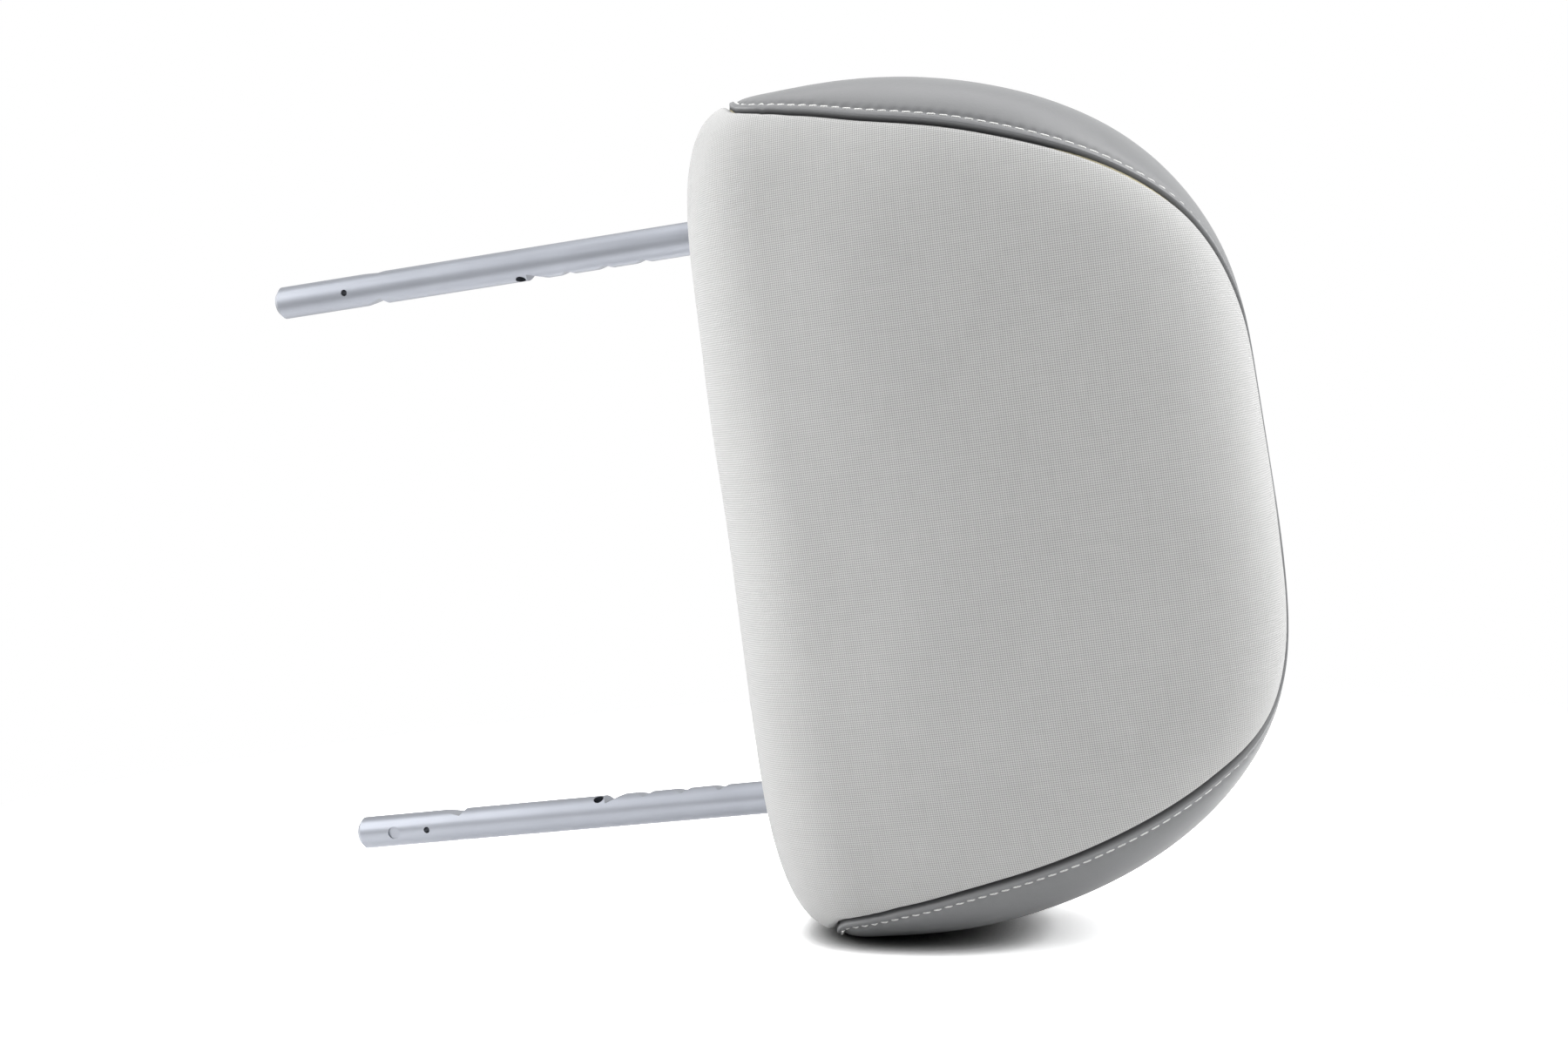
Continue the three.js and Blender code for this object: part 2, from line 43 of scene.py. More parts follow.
# camera, as the photo was taken
shot = {
    "position": (-0.0477, -0.7419, 0.2495),
    "back": (-0.0647, -0.9498, 0.3060),
    "roll": -0.122,
    "lens": 60,
    "sensorWidth": 36,
}
back = Vector(shot["back"]).normalized()
level = (-back).cross(Vector((0, 0, 1))).normalized()
upright = level.cross(-back)
imageRight = math.cos(shot["roll"]) * upright - math.sin(shot["roll"]) * level
imageDown = (-back).cross(imageRight)
cameraData = bpy.data.cameras.new("camera")
cameraData.lens = shot["lens"]
cameraData.sensor_width = shot["sensorWidth"]
camera = bpy.data.objects.new("camera", cameraData)
turned = Matrix((imageRight, -imageDown, back)).transposed().to_4x4()
camera.matrix_world = Matrix.Translation(shot["position"]) @ turned
bpy.context.scene.collection.objects.link(camera)
bpy.context.scene.camera = camera


def toLinear(hexColour):
    parts = [int(hexColour[i : i + 2], 16) / 255 for i in (1, 3, 5)]
    return [*[p / 12.92 if p <= 0.04045 else ((p + 0.055) / 1.055) ** 2.4 for p in parts], 1]


def newMaterial(name):
    material = bpy.data.materials.new(name)
    material.use_nodes = True
    material.node_tree.nodes.clear()
    return material


def addNode(tree, kind, values=None, links=None, **settings):
    # of a map range, inputs 1 and 2 are the range that comes in, 3 and 4 the range that goes out
    node = tree.nodes.new(kind)
    for key, value in settings.items():
        setattr(node, key, value)
    for key, value in (values or {}).items():
        node.inputs[key].default_value = value
    for key, socket in (links or {}).items():
        tree.links.new(socket, node.inputs[key])
    return node


def newPiece(name, points, faces, smooth=True):
    mesh = bpy.data.meshes.new(name)
    mesh.from_pydata((np.asarray(points) * mm).tolist(), [], faces)
    piece = bpy.data.objects.new(name, mesh)
    bpy.context.scene.collection.objects.link(piece)
    work = bmesh.new()
    work.from_mesh(mesh)
    bmesh.ops.recalc_face_normals(work, faces=work.faces)
    for face in work.faces:
        face.smooth = smooth
    work.to_mesh(mesh)
    work.free()
    return piece


def ringFaces(count, rows, start=0, closed=True):
    # quads between rings of count points that follow each other
    faces = []
    for row in range(rows - 1):
        a = start + row * count
        b = a + count
        for i in range(count if closed else count - 1):
            k = (i + 1) % count
            faces.append((a + i, a + k, b + k, b + i))
    return faces


def curveThrough(points, x):
    # smooth curve through [x, value] points, level at its first point
    xs, ys = np.array(points, float).T
    slopes = np.zeros(len(xs))
    slopes[1:-1] = (ys[2:] - ys[:-2]) / (xs[2:] - xs[:-2])
    slopes[-1] = (ys[-1] - ys[-2]) / (xs[-1] - xs[-2])
    x = np.clip(x, xs[0], xs[-1])
    i = np.clip(np.searchsorted(xs, x, side="right") - 1, 0, len(xs) - 2)
    width = xs[i + 1] - xs[i]
    t = (x - xs[i]) / width
    ends = ys[i] * (1 + 2 * t) * (1 - t) ** 2 + ys[i + 1] * t**2 * (3 - 2 * t)
    return ends + slopes[i] * width * t * (1 - t) ** 2 - slopes[i + 1] * width * t**2 * (1 - t)


# the pad's shape, which the cover and the foam share, in millimetres
pad = {
    "halfWidth": 121.5,
    "rise": 122.5,
    "drop": 36.5,
    "frontDepth": 47,
    "rearDepth": 54,
    "setForward": 15,
    "forwardLean": 0.1,
    "topNarrowing": 0.233,
    "squareness": (4.9, 4),  # bottom, top
    "frontFullness": (2.2, 2.6),  # below and above the widest level
    "rearFullness": (3.5, 2.25),
    "closureAngle": 139.2,
    "frontSeam": [
        [0, -4], [12, -5.2], [22, -7.4], [30, -11], [37, -17], [45, -28.2], [55, -38], [65, -43],
        [75, -44.2], [85, -41.2], [90, -38.3], [95, -37.1], [101, -34.8], [107, -30.7], [112, -22],
        [118, -7], [127, 8],
    ],
    # how far the front seam is really sewn off that line, along the left and the right half
    "askewLeft": [
        [0, 0], [20, 0.5], [30, -2], [36, -2.6], [45, 0], [60, 0.6], [75, 1.2], [90, 2.3], [101, 2.9],
        [107, 3.5], [112, 4.2], [122, 3], [139.2, 0],
    ],
    "askewRight": [
        [0, 0], [14, -2], [22, 0], [30, 2.6], [36, 3.6], [45, 1], [60, 0.7], [75, 0.2], [90, -0.9],
        [101, -1.4], [107, -2.2], [110, -3.8], [114, -5], [122, -3.5], [139.2, 0],
    ],
    "rearSeam": [[0, 54], [45, 45], [90, 32], [118, 29]],
    "thickness": 2.4,
    "foamGap": 0.5,
}
# how finely the shape is measured: steps in degrees, millimetres and places, and counts of points
measure = {
    "degrees": 0.5,
    "nudge": 0.05,
    "place": 0.02,
    "leastSlant": 0.3,
    "columnPoints": 8001,
    "seamPoints": 1801,
    "stitchPoints": 6000,
    "rowPoints": 61,
}
padCentre = np.array([0, -pad["setForward"], pad["drop"]])
frontPole = np.array([0, -pad["frontDepth"], 0.0])
rearPole = np.array([0, pad["rearDepth"], 0.0])


def reach(p):
    x, y, z = p[..., 0], p[..., 1], p[..., 2]
    high = z > 0
    height = np.where(high, z / pad["rise"], z / pad["drop"])
    depth = y + pad["forwardLean"] * z
    ahead = depth < 0
    fullness = np.where(
        ahead,
        np.where(high, pad["frontFullness"][1], pad["frontFullness"][0]),
        np.where(high, pad["rearFullness"][1], pad["rearFullness"][0]),
    )
    sunk = np.abs(depth) / np.where(ahead, pad["frontDepth"], pad["rearDepth"])
    ring = (sunk**fullness + np.abs(height) ** fullness) ** (1 / fullness)
    upness = np.clip(height / np.maximum(ring, 1e-9), -1, 1)
    share = 0.5 + 0.5 * np.sin(upness * math.pi / 2)
    squareness = pad["squareness"][0] + (pad["squareness"][1] - pad["squareness"][0]) * share
    return (np.abs(x / pad["halfWidth"]) ** squareness + ring**squareness) ** (1 / squareness)


def surfaceAt(direction):
    p = direction / reach(direction)[..., None]
    height = np.maximum(0, p[..., 2] / pad["rise"])
    p[..., 0] *= 1 - pad["topNarrowing"] * height**2
    return p + padCentre


def unit(v):
    return v / np.maximum(np.linalg.norm(v, axis=-1, keepdims=True), 1e-9)


def normalAt(direction):
    side = np.stack([direction[..., 1], -direction[..., 0], 0 * direction[..., 0]], -1)
    side[np.linalg.norm(side, axis=-1) < 1e-3] = (1, 0, 0)
    side = unit(side)
    over = unit(np.cross(direction, side))
    nudge = measure["nudge"]
    alongSide = surfaceAt(direction + nudge * side) - surfaceAt(direction - nudge * side)
    alongOver = surfaceAt(direction + nudge * over) - surfaceAt(direction - nudge * over)
    normal = unit(np.cross(alongSide, alongOver))
    facing = np.sum(normal * direction, -1, keepdims=True)
    return normal * np.where(facing < 0, -1, 1)


def seamDirection(route, degrees):
    angle = np.radians(degrees)
    down = np.where(np.cos(angle) > 0, pad["rise"], pad["drop"])
    full = [*route, [pad["closureAngle"], pad["setForward"]]]
    depth = curveThrough(full, np.abs(degrees))
    if route is pad["frontSeam"]:
        askew = [curveThrough(pad[side], np.abs(degrees)) for side in ("askewLeft", "askewRight")]
        depth = depth + np.where(degrees < 0, *askew)
    return np.stack([pad["halfWidth"] * np.sin(angle), depth, down * np.cos(angle)], -1)


def coverDirection(degrees, place):
    # place runs 0 to 1 from the front pole to the front seam, to 2 at the rear seam, to 3 at the rear pole
    front = seamDirection(pad["frontSeam"], degrees)
    rear = seamDirection(pad["rearSeam"], degrees)
    place = (np.zeros_like(degrees) + place)[..., None]
    ahead = frontPole + (front - frontPole) * place
    middle = front + (rear - front) * (place - 1)
    behind = rear + (rearPole - rear) * (place - 2)
    return np.where(place <= 1, ahead, np.where(place <= 2, middle, behind))


def placeBeside(degrees, seam, distance):
    # place that lies a distance in front of (negative) or behind a seam, square to the seam
    probe = measure["place"] * np.sign(distance)
    start = surfaceAt(coverDirection(degrees, seam))
    across = surfaceAt(coverDirection(degrees, seam + probe)) - start
    span = np.linalg.norm(across, axis=-1)
    before, after = degrees - measure["degrees"], degrees + measure["degrees"]
    along = surfaceAt(coverDirection(after, seam)) - surfaceAt(coverDirection(before, seam))
    slant = np.linalg.norm(np.cross(unit(along), unit(across)), axis=-1)
    slant = np.maximum(slant, measure["leastSlant"])
    return seam + distance * abs(probe) / np.maximum(span * slant, 1e-6)


def evenColumns(seam, count, limit):
    # angles spaced evenly along a seam's own length
    fine = np.linspace(-limit, limit, measure["columnPoints"])
    line = surfaceAt(coverDirection(fine, seam))
    steps = np.linalg.norm(np.diff(line, axis=0), axis=1)
    run = np.concatenate([[0], np.cumsum(steps)])
    return np.interp(np.linspace(0, run[-1], count), run, fine), run[-1]


def distanceTo(points, line):
    # distance from each point to a line of points, and how far along the line that is
    step = np.linalg.norm(np.diff(line, axis=0), axis=1)
    run = np.concatenate([[0], np.cumsum(step)])
    finder = kdtree.KDTree(len(line))
    for i, p in enumerate(line):
        finder.insert(p, i)
    finder.balance()
    flat = points.reshape(-1, 3)
    nearest = np.array([finder.find(p)[1] for p in flat])
    best = np.full(len(flat), 1e9)
    place = run[nearest]
    for first in (nearest - 1, nearest):
        first = np.clip(first, 0, len(line) - 2)
        span = line[first + 1] - line[first]
        t = np.sum((flat - line[first]) * span, 1) / np.maximum(np.sum(span * span, 1), 1e-9)
        t = np.clip(t, 0, 1)
        gap = np.linalg.norm(flat - line[first] - t[:, None] * span, axis=1)
        closer = gap < best
        best = np.where(closer, gap, best)
        place = np.where(closer, run[first] + t * step[first], place)
    return best.reshape(points.shape[:-1]), place.reshape(points.shape[:-1])


# slow swells that keep the cover from looking machined: length and height of each
swelling = {"seed": 11, "waves": [(170, 0.35), (150, 0.3), (95, 0.16), (80, 0.14), (55, 0.07), (48, 0.06)]}
rng = np.random.default_rng(swelling["seed"])
swells = [
    (rng.normal(size=3) / length * math.tau, rng.uniform(0, math.tau), height)
    for length, height in swelling["waves"]
]


# where the foam fills the cover more or less than the plain shape: centre and height of each place
filling = {
    "reach": 30,
    "places": [
        ((-81, -56, 22), -0.2), ((-42, -57, 22), 0.8), ((0, -58, 22), 0.7), ((42, -57, 22), 0.4),
        ((81, -56, 22), -0.6), ((-90, -61, 61), 1.3), ((-48, -64, 63), 2.5), ((0, -64, 63), 2.5),
        ((48, -64, 63), 2.5), ((90, -61, 61), 0.8), ((-45, -64, 106), -0.2), ((0, -64, 106), 0.7),
        ((45, -64, 106), -0.9), ((84, -60, 100), -1.1), ((-73, -57, 127), -1.2), ((-38, -59, 132), -1.1),
        ((0, -60, 133), -0.8), ((38, -59, 132), -1.2), ((73, -57, 127), -0.5), ((40, -35, 155), 1.0),
        ((75, -30, 150), 1.2), ((100, -20, 125), 1.3), ((98, -42, 5), 1.5), ((-121, -15, 52), -1.1),
        ((-45, -42, 2), -1.3), ((15, -42, 2), -1.5),
    ],
}


def swellAt(points):
    total = np.zeros(points.shape[:-1])
    for centre, height in filling["places"]:
        apart = np.linalg.norm(points - np.array(centre), axis=-1)
        total += height * np.exp(-((apart / filling["reach"]) ** 2) / 2)
    for wave, phase, height in swells:
        total += height * np.sin(points @ wave + phase)
    return total


post = {
    "x": 85,
    "radius": 5,
    "length": 144,
    "crossbar": 100,
    "bend": 28,
    "chamfer": 1.5,
    "slack": 0.6,  # between a post and the cover's opening
    "openingTop": 30,  # the cover is drawn round the posts below this height
    "sides": 56,
    "bendSteps": 24,
    "rowStep": 6.0,
}


def roundPosts(points):
    # the cover opens round each post where it passes the closure
    out = points.copy()
    for x in (-post["x"], post["x"]):
        dx = out[..., 0] - x
        dy = out[..., 1]
        far = np.maximum(np.hypot(dx, dy), 1e-6)
        hole = post["radius"] + post["slack"]
        pushed = (far**3 + hole**3) ** (1 / 3)
        under = out[..., 2] < post["openingTop"]
        grow = np.where(under, pushed / far, 1)
        out[..., 0] = x + dx * grow
        out[..., 1] = dy * grow
    return out


print("pad shape ready")

# the cover: three sewn panels over the foam
sewing = {
    "gap": 0.28,  # from the seam's middle to each panel's edge
    "fabricRoll": 2.3,
    "depth": 2.2,
    "pillow": 0.45,
    "pillowReach": 6.5,
    "stitchAt": 3.0,
    "pucker": 0.12,
    "puckerReach": 1.3,
    "tuck": 0.8,
    "innerShare": 0.3,  # how much of a hollow shows on the cover's inner face
}
stitching = {
    "pitch": 3.5,
    "length": 3.0,
    "thread": 0.3,
    "limit": 114,  # degrees from the top to the last stitch
    "sink": 0.5,
    "stand": 0.12,
    "flatness": 0.8,
    "tip": 0.12,
    "sides": 8,
    "rings": 11,
}
# height across the vinyl's rolled edge: it stands up beside the seam and dips again under the top stitch
rolledEdge = [
    [0, -2.3], [0.28, -2], [0.45, -1.2], [0.7, -0.4], [1.05, 0.14], [1.45, 0.36], [1.85, 0.3], [2.2, 0.02],
    [2.55, -0.36], [3, -0.58], [3.5, -0.46], [4.4, -0.2], [5.8, -0.07], [8, 0],
]
round180 = np.linspace(-180, 180, measure["seamPoints"])
seamLine = {seam: surfaceAt(coverDirection(round180, seam)) for seam in (1, 2)}


def softEdge(distance):
    roll = np.clip(1 - distance / sewing["fabricRoll"], 0, 1)
    turnedIn = -sewing["depth"] * (1 - np.sqrt(1 - roll**2))
    return turnedIn - sewing["pillow"] * np.exp(-distance / sewing["pillowReach"])


def weltedEdge(distance, along):
    rows = curveThrough(rolledEdge, distance)
    pull = np.exp(-(((distance - sewing["stitchAt"]) / sewing["puckerReach"]) ** 2))
    beat = np.cos(along / stitching["pitch"] * math.tau)
    return rows + sewing["pucker"] * pull * beat


def panel(name, columns, outerPlaces, innerPlaces, heights, pole, closed):
    # outerPlaces run from the pole or the first edge outwards; the inner face comes back the same way
    grid = np.repeat(columns[None], len(outerPlaces), 0)
    outward = coverDirection(grid, outerPlaces)
    base = surfaceAt(outward)
    outer = base + normalAt(outward) * (heights(base) + swellAt(base))[..., None]
    grid = np.repeat(columns[None], len(innerPlaces), 0)
    inward = coverDirection(grid, innerPlaces)
    inner = surfaceAt(inward)
    sunk = sewing["innerShare"] * np.minimum(0, swellAt(inner)) - pad["thickness"]
    inner = inner + normalAt(inward) * sunk[..., None]
    rings = roundPosts(np.concatenate([outer, inner]))
    count = len(columns)
    points = rings.reshape(-1, 3)
    faces = ringFaces(count, len(rings), closed=closed)
    end = (len(rings) - 1) * count
    if pole is not None:
        top = surfaceAt(pole[None])
        normal = normalAt(pole[None])
        tips = np.concatenate([top + normal * swellAt(top)[:, None], top - normal * pad["thickness"]])
        last = len(points)
        points = np.concatenate([points, tips])
        for i in range(count):
            k = (i + 1) % count
            faces.append((last, k, i))
            faces.append((last + 1, end + i, end + k))
    else:
        faces += [(end + i, end + i + 1, i + 1, i) for i in range(count - 1)]
        faces.append(tuple(row * count for row in range(len(rings))))
        faces.append(tuple(row * count + count - 1 for row in reversed(range(len(rings)))))
    return newPiece(name, points, faces)


def spread(first, last, count):
    # rows shared out evenly between two places, both left out
    shares = np.linspace(0, 1, count + 2)[1:-1]
    return [first + (last - first) * share for share in shares]


def closedColumns(seam, count):
    columns, _ = evenColumns(seam, count + 1, 180)
    return columns[:-1]


def rowsToPole(columns, seam, pole, distances, shares):
    # rows from a seam to a pole: first at distances along each column, then at shares of what is left
    edge = placeBeside(columns, seam, math.copysign(sewing["gap"], pole - seam))
    fine = np.linspace(0, 1, measure["rowPoints"])[:, None]
    line = surfaceAt(coverDirection(np.repeat(columns[None], len(fine), 0), edge + (pole - edge) * fine))
    length = np.linalg.norm(np.diff(line, axis=0), axis=2).sum(axis=0)
    rows = [edge + (pole - edge) * (distance - distances[0]) / length for distance in distances]
    return rows + [rows[-1] + (pole - rows[-1]) * share for share in shares]


# rows of points on each panel: distances from its seam in millimetres, then shares of the way to its pole
rowsOn = {
    "softEdge": [0.28, 0.45, 0.65, 0.9, 1.2, 1.55, 2, 2.5, 3.1, 3.9, 4.9, 6, 7.5],
    "beyondEdge": [9.5, 12],
    "weltedEdge": [
        0.28, 0.36, 0.48, 0.65, 0.9, 1.2, 1.5, 1.8, 2.1, 2.4, 2.7, 3, 3.35, 3.8, 4.5, 5.5, 7, 9,
    ],
    "innerEdge": [0.28, 3, 9],
    "lastShare": 0.98,
    "front": {"columns": 900, "rows": 45, "inner": [0.08, 0.18, 0.3, 0.45, 0.6, 0.8]},
    "rear": {"columns": 720, "rows": 33, "inner": [0.1, 0.25, 0.45, 0.65, 0.82]},
    "side": {"columns": 1240, "rows": 22, "inner": 8, "short": 0.4, "fullWidth": 26, "edgeShare": 0.42},
}


def domedPanel(name, counts, seam, pole, poleDirection):
    columns = closedColumns(seam, counts["columns"])
    distances = rowsOn["softEdge"] + rowsOn["beyondEdge"]
    shares = np.linspace(0, rowsOn["lastShare"], counts["rows"])[1:]
    outer = np.array(rowsToPole(columns, seam, pole, distances, shares))[::-1]
    inner = np.array(rowsToPole(columns, seam, pole, rowsOn["innerEdge"], counts["inner"]))

    def heights(p):
        return softEdge(distanceTo(p, seamLine[seam])[0])

    return panel(name, columns, outer, inner, heights, poleDirection, True)


frontCover = domedPanel("frontCover", rowsOn["front"], 1, 0, frontPole)
rearCover = domedPanel("rearCover", rowsOn["rear"], 2, 3, rearPole)


def sideHeights(p):
    front, along = distanceTo(p, seamLine[1])
    rear, _ = distanceTo(p, seamLine[2])
    return np.minimum(weltedEdge(front, along), softEdge(rear))


def sideBand():
    counts = rowsOn["side"]
    columns, _ = evenColumns(1, counts["columns"], pad["closureAngle"] - counts["short"])
    width = np.linalg.norm(
        surfaceAt(coverDirection(columns, 1)) - surfaceAt(coverDirection(columns, 2)), axis=1
    )
    fullShare = np.minimum(1, width / counts["fullWidth"])

    def rowsBeside(seam, way, distances):
        # drawn in where the panel runs out, so that they stay on their own side of its middle
        rows = [placeBeside(columns, seam, way * distance * fullShare) - seam for distance in distances]
        fit = np.minimum(1, counts["edgeShare"] / np.abs(rows[-1]))
        return [seam + row * fit for row in rows]

    front = rowsBeside(1, 1, rowsOn["weltedEdge"])
    rear = rowsBeside(2, -1, rowsOn["softEdge"])[::-1]
    outer = front + spread(front[-1], rear[0], counts["rows"]) + rear
    # the allowance is tucked under the neighbouring panels, so that no foam shows in the seams
    tuck = sewing["tuck"] * fullShare
    inner = [
        placeBeside(columns, 2, tuck),
        *spread(rear[0], front[-1], counts["inner"]),
        placeBeside(columns, 1, -tuck),
    ]
    return panel("sideCover", columns, np.array(outer), np.array(inner), sideHeights, None, False)


sideCover = sideBand()
print("cover panels ready")


def stitchRow():
    # top stitching: one row of white stitches beside the rolled edge
    fine, _ = evenColumns(1, measure["stitchPoints"], stitching["limit"])
    place = placeBeside(fine, 1, sewing["stitchAt"])
    direction = coverDirection(fine, place)
    base = surfaceAt(direction)
    distance, along = distanceTo(base, seamLine[1])
    normal = normalAt(direction)
    line = base + normal * (weltedEdge(distance, along) + swellAt(base))[:, None]
    run = np.concatenate([[0], np.cumsum(np.linalg.norm(np.diff(line, axis=0), axis=1))])
    points, faces = [], []
    rings, sides = stitching["rings"], stitching["sides"]
    turn = np.arange(sides) / sides * math.tau
    for number in range(int(run[-1] / stitching["pitch"])):
        middle = (number + 0.5) * stitching["pitch"]
        t = np.linspace(-1, 1, rings)
        at = middle + t * stitching["length"] / 2
        core = np.stack([np.interp(at, run, line[:, k]) for k in range(3)], -1)
        out = unit(np.stack([np.interp(at, run, normal[:, k]) for k in range(3)], -1))
        core = core + out * (stitching["stand"] - stitching["sink"] * np.abs(t) ** 3)[:, None]
        across = unit(np.cross(out, unit(np.gradient(core, axis=0))))
        rise = unit(np.cross(unit(np.gradient(core, axis=0)), across))
        size = stitching["thread"] * np.sqrt(np.maximum(stitching["tip"], 1 - np.abs(t) ** 4))
        start = len(points)
        for r in range(rings):
            for a in turn:
                high = stitching["flatness"] * math.sin(a)
                points.append(core[r] + size[r] * (math.cos(a) * across[r] + high * rise[r]))
        faces += ringFaces(sides, rings, start)
        faces.append(tuple(start + k for k in reversed(range(sides))))
        faces.append(tuple(start + (rings - 1) * sides + k for k in range(sides)))
    return newPiece("topStitching", points, faces)


topStitching = stitchRow()
print("stitching ready")

# post frame: one bent bar with its marks
marks = {
    "endMark": {"height": 13.3, "diameter": 3.9, "depth": 0.6},
    "hangHole": {"height": 24.8, "diameter": 2, "depth": 20},
    "lockHole": {"height": 83, "diameter": 3.2, "depth": 4},
    "lockHoleTurn": 27.5,  # degrees towards the front
    # height of the deepest line, depth, and how far the flanks below and above it reach
    "stopNotch": (36, 1.7, 6, 1.6),
    "stopRelief": (36, 0.4, 6, 1.6),
    "lockNotch": (85.6, 1.85, 1, 5.8),
    "ratchets": [(98, 1.05, 2.5, 2.5), (110.4, 1.05, 2.5, 2.5), (122.8, 1.05, 2.5, 2.5)],
    "past": 6,  # how far a cutter runs on outside the bar
    "drillSides": 40,
    "sharpFrom": 28,  # degrees
}


def sweptBar(name, radius, sides, step, chamfer=0.0):
    bendX, bendZ = post["x"] - post["bend"], post["crossbar"] - post["bend"]
    right = [(post["x"], -post["length"])]
    if chamfer:
        right.append((post["x"], -post["length"] + chamfer))
    z = -post["length"] + chamfer + step
    while z < bendZ - 1:
        right.append((post["x"], z))
        z += step
    for i in range(post["bendSteps"] + 1):
        turn = i / post["bendSteps"] * math.pi / 2
        right.append((bendX + post["bend"] * math.cos(turn), bendZ + post["bend"] * math.sin(turn)))
    path = np.array(right + [(-x, z) for x, z in reversed(right)])
    along = unit(np.gradient(path, axis=0))
    turn = (np.arange(sides) + 0.5) / sides * math.tau
    points = []
    for i, (x, z) in enumerate(path):
        size = radius - chamfer if i in (0, len(path) - 1) else radius
        for a in turn:
            across = size * math.cos(a)
            points.append((x + along[i][1] * across, size * math.sin(a), z - along[i][0] * across))
    faces = ringFaces(sides, len(path))
    faces.append(tuple(range(sides)))
    faces.append(tuple((len(path) - 1) * sides + k for k in range(sides)))
    return newPiece(name, points, faces)


def wedge(x, side, notch):
    height, depth, below, above = notch
    z = height - post["length"]
    past = marks["past"]
    face = x + side * post["radius"]
    grown = 1 + past / depth
    corners = [
        (face - side * depth, z),
        (face + side * past, z - below * grown),
        (face + side * past, z + above * grown),
    ]
    points = [(cx, y, cz) for y in (-2 * past, 2 * past) for cx, cz in corners]
    return newPiece("wedge", points, [(0, 1, 2), (5, 4, 3), (0, 3, 4, 1), (1, 4, 5, 2), (2, 5, 3, 0)], False)


def drill(x, hole, turned, inner):
    # a hole into a post, straight from the front or turned from its inner side towards the front
    angle = math.radians(turned)
    way = np.array([inner * math.cos(angle), -math.sin(angle), 0])
    over = np.array([inner * math.sin(angle), math.cos(angle), 0])
    axis = np.array([x, 0, hole["height"] - post["length"]])
    sides = marks["drillSides"]
    turn = np.arange(sides) / sides * math.tau
    ring = np.cos(turn)[:, None] * over + np.sin(turn)[:, None] * np.array([0, 0, 1])
    reaches = (post["radius"] - hole["depth"], post["radius"] + marks["past"])
    ends = [axis + way * far + hole["diameter"] / 2 * ring for far in reaches]
    faces = [*ringFaces(sides, 2), tuple(range(sides)), tuple(range(sides, 2 * sides))]
    return newPiece("drill", np.concatenate(ends), faces, False)


def cutWith(piece, cutters):
    for cutter in cutters:
        cut = piece.modifiers.new("cut", "BOOLEAN")
        cut.operation = "DIFFERENCE"
        cut.solver = "EXACT"
        cut.object = cutter
    result = bpy.data.meshes.new_from_object(piece.evaluated_get(bpy.context.evaluated_depsgraph_get()))
    piece.modifiers.clear()
    piece.data = result
    for cutter in cutters:
        bpy.data.objects.remove(cutter)


def sharpen(piece, degrees):
    work = bmesh.new()
    work.from_mesh(piece.data)
    for edge in work.edges:
        edge.smooth = edge.calc_face_angle(0) < math.radians(degrees)
    for face in work.faces:
        face.smooth = True
    work.to_mesh(piece.data)
    work.free()


def makePostFrame():
    bar = sweptBar("postFrame", post["radius"], post["sides"], post["rowStep"], post["chamfer"])
    cutters = [drill(post["x"], marks["endMark"], 90, 1)]
    for side in (-1, 1):
        x, inner = side * post["x"], -side
        cutters.append(drill(x, marks["hangHole"], 90, inner))
        cutters.append(drill(x, marks["lockHole"], marks["lockHoleTurn"], inner))
        cutters.append(wedge(x, -inner, marks["stopRelief"]))
        for notch in (marks["stopNotch"], marks["lockNotch"], *marks["ratchets"]):
            cutters.append(wedge(x, inner, notch))
    cutWith(bar, cutters)
    sharpen(bar, marks["sharpFrom"])
    return bar


postFrame = makePostFrame()
print("post frame ready")

# foam: the moulded pad under the cover
foam = {
    "columns": 300,
    "rows": 90,
    "poleGap": 0.02,
    "barSlack": 0.3,
    "barSides": 40,
    "barStep": 20,
    "carrierHalf": (96.3, 11.3),
    "carrierSpan": (49.7, 114.3),
    "carrierCorner": (8.3, 36.3),  # bottom, top
    "cornerSteps": 8,
    "stripHalf": (65, 8),
    "stripSpan": (-2.4, 11.01),
    "sharpFrom": 40,  # degrees
}


def makeCarrierRoom():
    low, high = foam["carrierSpan"]
    halfWidth, halfDepth = foam["carrierHalf"]
    tight, wide = foam["carrierCorner"]
    outline = []
    for x, z, radius, first in [
        (-halfWidth, low, tight, 180),
        (halfWidth, low, tight, 270),
        (halfWidth, high, wide, 0),
        (-halfWidth, high, wide, 90),
    ]:
        cx = x - math.copysign(radius, x)
        cz = z + radius if z == low else z - radius
        for i in range(foam["cornerSteps"] + 1):
            a = math.radians(first + i * 90 / foam["cornerSteps"])
            outline.append((cx + radius * math.cos(a), cz + radius * math.sin(a)))
    points = [(x, y, z) for y in (-halfDepth, halfDepth) for x, z in outline]
    n = len(outline)
    faces = [*ringFaces(n, 2), tuple(range(n)), tuple(range(n, 2 * n))]
    return newPiece("carrierRoom", points, faces, False)


def makeStripRoom():
    w, d = foam["stripHalf"]
    points = [(x, y, z) for z in foam["stripSpan"] for x, y in [(-w, -d), (w, -d), (w, d), (-w, d)]]
    return newPiece("stripRoom", points, [*ringFaces(4, 2), (0, 1, 2, 3), (4, 5, 6, 7)], False)


